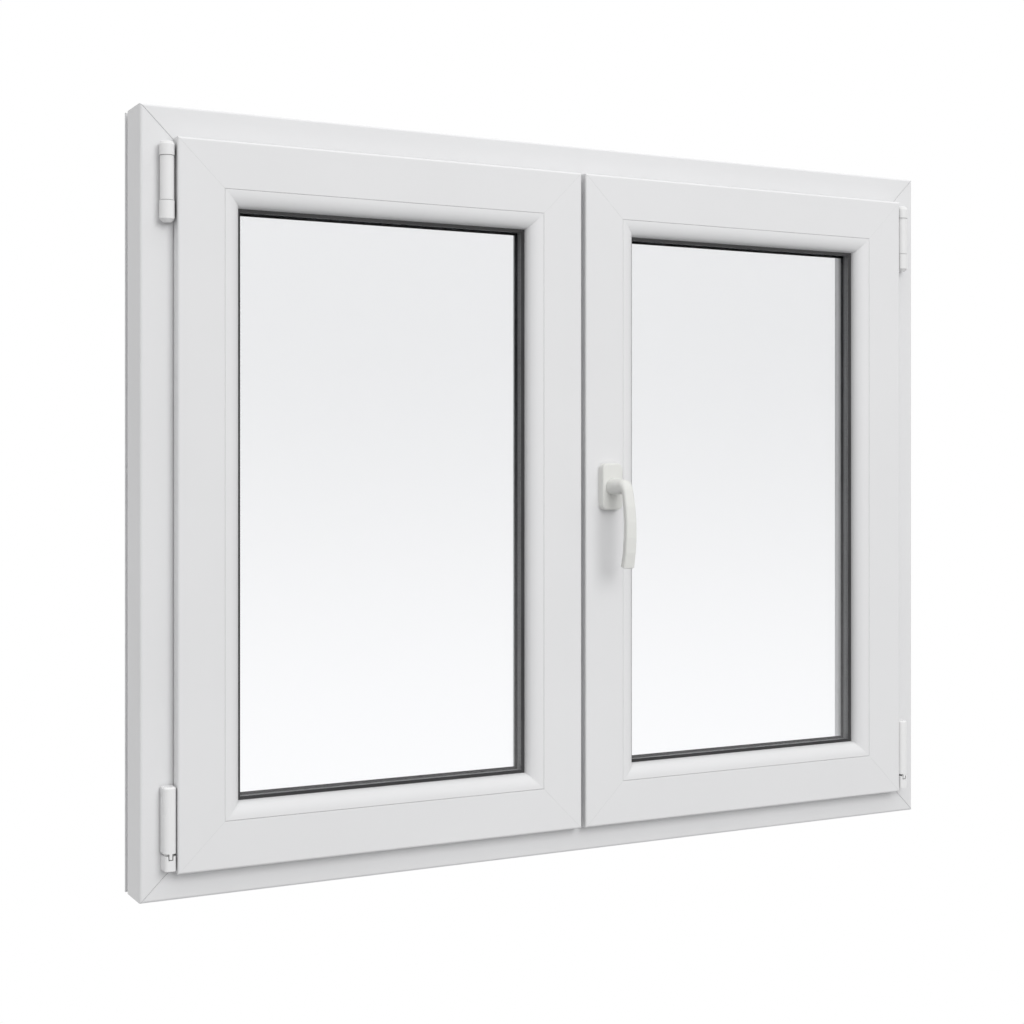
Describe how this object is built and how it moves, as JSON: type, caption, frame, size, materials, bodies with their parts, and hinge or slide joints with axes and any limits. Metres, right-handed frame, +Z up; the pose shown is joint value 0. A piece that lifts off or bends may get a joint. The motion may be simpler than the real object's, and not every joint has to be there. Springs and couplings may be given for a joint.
{
  "type": "pvc window",
  "caption": "White PVC casement window with paired inward-opening sashes, clear double glazing, covered hinges and a turning lever handle.",
  "frame": {"origin": "middle of the frame's underside: middle of its width and of its depth", "axes": "+X to the right as seen from the room, +Y from the room to outdoors, +Z up"},
  "size_m": [1.204, 0.151, 0.97],
  "materials": {
    "white_pvc": "satin",
    "clear_glass": "polished",
    "gasket_black": "matte",
    "spacer_grey": "matte",
    "hinge_white": "gloss",
    "handle_white": "satin"
  },
  "bodies": {
    "window": {"false_mullion": "white_pvc", "frame_head": "white_pvc", "frame_left_jamb": "white_pvc", "frame_right_jamb": "white_pvc", "frame_seal": "gasket_black", "frame_sill": "white_pvc", "handle_rosette": "handle_white", "left_bead_bottom": "white_pvc", "left_bead_hinge_side": "white_pvc", "left_bead_meeting_side": "white_pvc", "left_bead_top": "white_pvc", "left_bottom_hinge_bearing": "hinge_white", "left_bottom_hinge_cover": "hinge_white", "left_inner_gasket": "gasket_black", "left_inner_pane": "clear_glass", "left_outer_gasket": "gasket_black", "left_outer_pane": "clear_glass", "left_sash_bottom_rail": "white_pvc", "left_sash_hinge_stile": "white_pvc", "left_sash_meeting_stile": "white_pvc", "left_sash_seal": "gasket_black", "left_sash_top_rail": "white_pvc", "left_spacer": "spacer_grey", "left_top_hinge_barrel": "hinge_white", "left_top_hinge_bearing": "hinge_white", "meeting_seal": "gasket_black", "right_bead_bottom": "white_pvc", "right_bead_hinge_side": "white_pvc", "right_bead_meeting_side": "white_pvc", "right_bead_top": "white_pvc", "right_bottom_hinge_bearing": "hinge_white", "right_bottom_hinge_cover": "hinge_white", "right_inner_gasket": "gasket_black", "right_inner_pane": "clear_glass", "right_outer_gasket": "gasket_black", "right_outer_pane": "clear_glass", "right_sash_bottom_rail": "white_pvc", "right_sash_hinge_stile": "white_pvc", "right_sash_meeting_stile": "white_pvc", "right_sash_seal": "gasket_black", "right_sash_top_rail": "white_pvc", "right_spacer": "spacer_grey", "right_top_hinge_barrel": "hinge_white", "right_top_hinge_bearing": "hinge_white"},
    "handle": {"handle_lever": "handle_white"}
  },
  "joints": [
    {"name": "handle_turn", "type": "hinge", "parent": "window", "child": "handle", "pos_m": [0.04625, -0.055, 0.5015], "axis": [0, -1, 0], "range_deg": [0, 180]}
  ]
}
